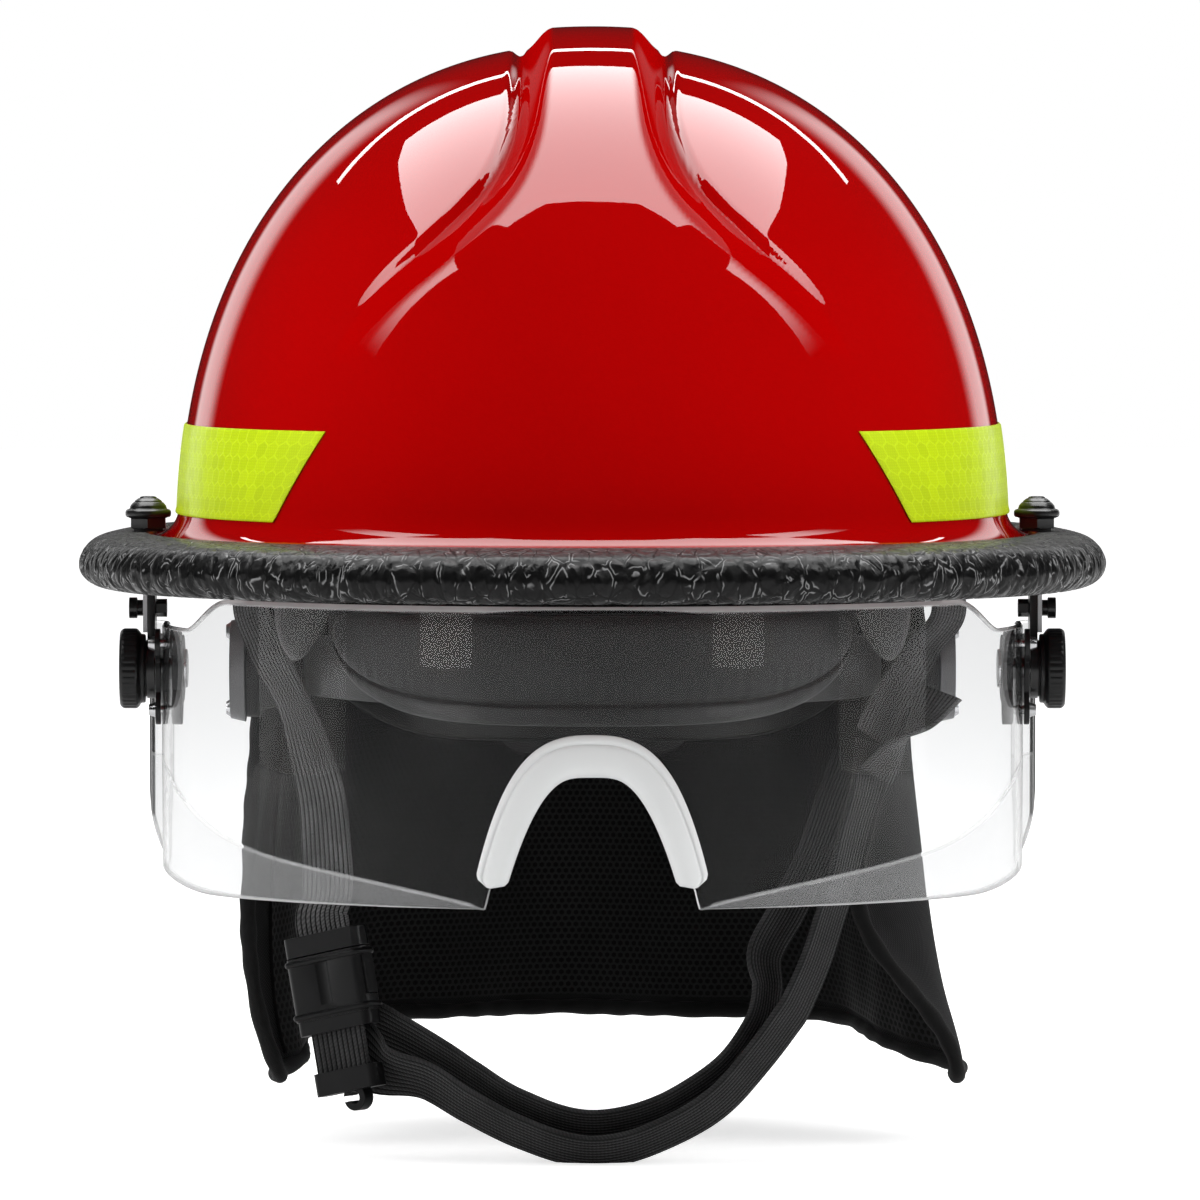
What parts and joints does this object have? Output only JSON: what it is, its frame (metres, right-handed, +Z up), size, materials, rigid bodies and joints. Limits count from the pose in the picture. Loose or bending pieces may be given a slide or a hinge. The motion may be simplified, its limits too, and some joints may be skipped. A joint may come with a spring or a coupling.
{
  "type": "fire helmet",
  "caption": "Red brimmed fire helmet with a hinged clear face visor, padded liner, size knob, chin strap with side-release buckle and black neck curtain.",
  "frame": {"origin": "centre of the wearer's head in plan, at the height of the edge trim's middle", "axes": "+Z up through the crown, -Y to the front where the visor is, +X to the wearer's left, which is the right side of the picture"},
  "size_m": [0.292, 0.347, 0.3227],
  "materials": {
    "red_shell": "high gloss",
    "black_trim": "grained, semi-gloss",
    "lime_film": "prismatic film",
    "liner_foam": "matt",
    "webbing": "ribbed, matt",
    "liner_plastic": "satin",
    "liner_pad": "satin",
    "black_plastic": "satin",
    "hub_grey": "satin",
    "grey_plastic": "satin",
    "screw_steel": "plated",
    "curtain_cloth": "matt",
    "curtain_mesh": "open mesh, matt",
    "clear_lens": "clear, polished",
    "pale_rubber": "satin",
    "black_metal": "satin black",
    "bare_aluminium": "satin",
    "washer_rubber": "matt"
  },
  "bodies": {
    "helmet": {"shell": "red_shell", "edge_trim": "black_trim", "reflective_patches": "lime_film", "impact_cap": "liner_foam", "crown_straps": "webbing", "suspension_hangers": "liner_plastic", "temple_pads": "liner_pad", "headband": "liner_plastic", "brow_pad": "liner_pad", "hub_bosses": "liner_plastic", "hub_plates": "hub_grey", "hub_screws": "screw_steel", "neck_curtain": "curtain_cloth", "curtain_lining": "curtain_mesh", "curtain_binding": "curtain_cloth", "left_bracket": "black_metal", "right_bracket": "black_metal", "stop_plates": "bare_aluminium", "bracket_screws": "black_metal", "bracket_bolts": "screw_steel", "cap_nuts": "black_plastic", "nut_washers": "washer_rubber", "friction_washers": "washer_rubber", "left_strap": "webbing", "right_strap": "webbing", "rear_strap": "webbing", "chin_strap": "webbing", "return_strap": "webbing", "buckle_loop": "webbing", "buckle_socket": "black_plastic", "buckle_tongue": "black_plastic", "strap_slide": "black_plastic"},
    "visor": {"visor_lens": "clear_lens", "nose_piece": "pale_rubber", "pivot_plates": "black_plastic", "backing_plates": "grey_plastic", "pivot_studs": "screw_steel", "lens_screws": "screw_steel"},
    "left_knob": {"left_knob": "black_plastic"},
    "right_knob": {"right_knob": "black_plastic"},
    "nape_adjuster": {"nape_band": "liner_plastic", "ratchet_housing": "black_plastic"},
    "size_knob": {"size_knob": "black_plastic"},
    "front_prong": {"front_prong": "black_plastic"},
    "rear_prong": {"rear_prong": "black_plastic"}
  },
  "joints": [
    {"name": "visor_pivot", "type": "hinge", "parent": "helmet", "child": "visor", "pos_m": [0, -0.012, -0.031], "axis": [-1, 0, 0], "range_deg": [0, 38]},
    {"name": "left_knob_turn", "type": "hinge", "parent": "visor", "child": "left_knob", "pos_m": [0, -0.012, -0.031], "axis": [-1, 0, 0], "range_deg": [-30, 150]},
    {"name": "right_knob_turn", "type": "hinge", "parent": "visor", "child": "right_knob", "pos_m": [0, -0.012, -0.031], "axis": [1, 0, 0], "range_deg": [-30, 150]},
    {"name": "nape_slide", "type": "slide", "parent": "helmet", "child": "nape_adjuster", "axis": [0, 1, 0], "range_m": [-0.01, 0.004]},
    {"name": "size_knob_turn", "type": "hinge", "parent": "nape_adjuster", "child": "size_knob", "pos_m": [0, 0.11, -0.047], "axis": [0, 1, 0], "range_deg": [-116, 47]},
    {"name": "front_prong_press", "type": "slide", "parent": "helmet", "child": "front_prong", "axis": [-0.7825, 0.5869, -0.2079], "range_m": [0, 0.0016], "stiffness_N_per_m": 1500},
    {"name": "rear_prong_press", "type": "slide", "parent": "helmet", "child": "rear_prong", "axis": [0.7825, -0.5869, 0.2079], "range_m": [0, 0.0016], "stiffness_N_per_m": 1500}
  ],
  "couplings": [
    {"joint": "size_knob_turn", "follows": "nape_slide", "rad_per_m": 200}
  ]
}
